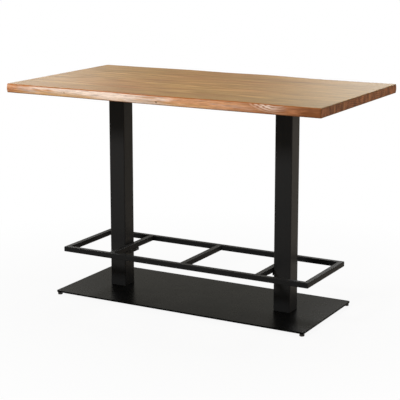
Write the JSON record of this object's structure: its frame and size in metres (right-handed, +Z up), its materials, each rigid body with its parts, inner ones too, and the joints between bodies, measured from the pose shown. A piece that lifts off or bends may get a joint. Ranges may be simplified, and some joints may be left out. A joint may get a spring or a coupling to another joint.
{
  "type": "bar-height table",
  "caption": "Bar-height table with a live-edge solid-wood top on square steel columns, with a footrest frame and a flat base plate on levelling feet.",
  "frame": {"origin": "on the floor under the middle of the table", "axes": "+X along the table, +Y from the front to the back, +Z up"},
  "size_m": [1.6, 0.9, 1.05],
  "materials": {
    "wood": "oiled hardwood",
    "powder_coat": "satin black powder coat",
    "zinc": "zinc plated",
    "foot_rubber": "matte moulded"
  },
  "bodies": {
    "table": {"front_live_edge_stave": "wood", "top_stave_1": "wood", "top_stave_2": "wood", "top_stave_3": "wood", "top_stave_4": "wood", "top_stave_5": "wood", "back_live_edge_stave": "wood", "left_column": "powder_coat", "right_column": "powder_coat", "left_head_plate": "powder_coat", "right_head_plate": "powder_coat", "left_column_foot_plate": "powder_coat", "right_column_foot_plate": "powder_coat", "base_plate": "powder_coat", "footrest_front_rail": "powder_coat", "footrest_back_rail": "powder_coat", "footrest_left_rail": "powder_coat", "footrest_right_rail": "powder_coat", "footrest_left_crossbar": "powder_coat", "footrest_middle_crossbar": "powder_coat", "footrest_right_crossbar": "powder_coat", "left_footrest_bracket": "powder_coat", "right_footrest_bracket": "powder_coat", "left_footrest_nut_plate": "powder_coat", "right_footrest_nut_plate": "powder_coat", "left_footrest_bolt_1": "zinc", "left_footrest_bolt_2": "zinc", "right_footrest_bolt_1": "zinc", "right_footrest_bolt_2": "zinc", "left_column_bolt_1": "zinc", "left_column_bolt_2": "zinc", "left_column_bolt_3": "zinc", "left_column_bolt_4": "zinc", "right_column_bolt_1": "zinc", "right_column_bolt_2": "zinc", "right_column_bolt_3": "zinc", "right_column_bolt_4": "zinc", "left_top_screw_1": "zinc", "left_top_screw_2": "zinc", "left_top_screw_3": "zinc", "left_top_screw_4": "zinc", "left_top_screw_5": "zinc", "left_top_screw_6": "zinc", "right_top_screw_1": "zinc", "right_top_screw_2": "zinc", "right_top_screw_3": "zinc", "right_top_screw_4": "zinc", "right_top_screw_5": "zinc", "right_top_screw_6": "zinc"},
    "front_left_foot": {"front_left_foot_pad": "foot_rubber", "front_left_foot_stem": "zinc"},
    "front_right_foot": {"front_right_foot_pad": "foot_rubber", "front_right_foot_stem": "zinc"},
    "back_left_foot": {"back_left_foot_pad": "foot_rubber", "back_left_foot_stem": "zinc"},
    "back_right_foot": {"back_right_foot_pad": "foot_rubber", "back_right_foot_stem": "zinc"}
  },
  "joints": [
    {"name": "front_left_levelling", "type": "slide", "parent": "table", "child": "front_left_foot", "axis": [0, 0, 1], "range_m": [-0.005, 0.001]},
    {"name": "front_right_levelling", "type": "slide", "parent": "table", "child": "front_right_foot", "axis": [0, 0, 1], "range_m": [-0.005, 0.001]},
    {"name": "back_left_levelling", "type": "slide", "parent": "table", "child": "back_left_foot", "axis": [0, 0, 1], "range_m": [-0.005, 0.001]},
    {"name": "back_right_levelling", "type": "slide", "parent": "table", "child": "back_right_foot", "axis": [0, 0, 1], "range_m": [-0.005, 0.001]}
  ]
}
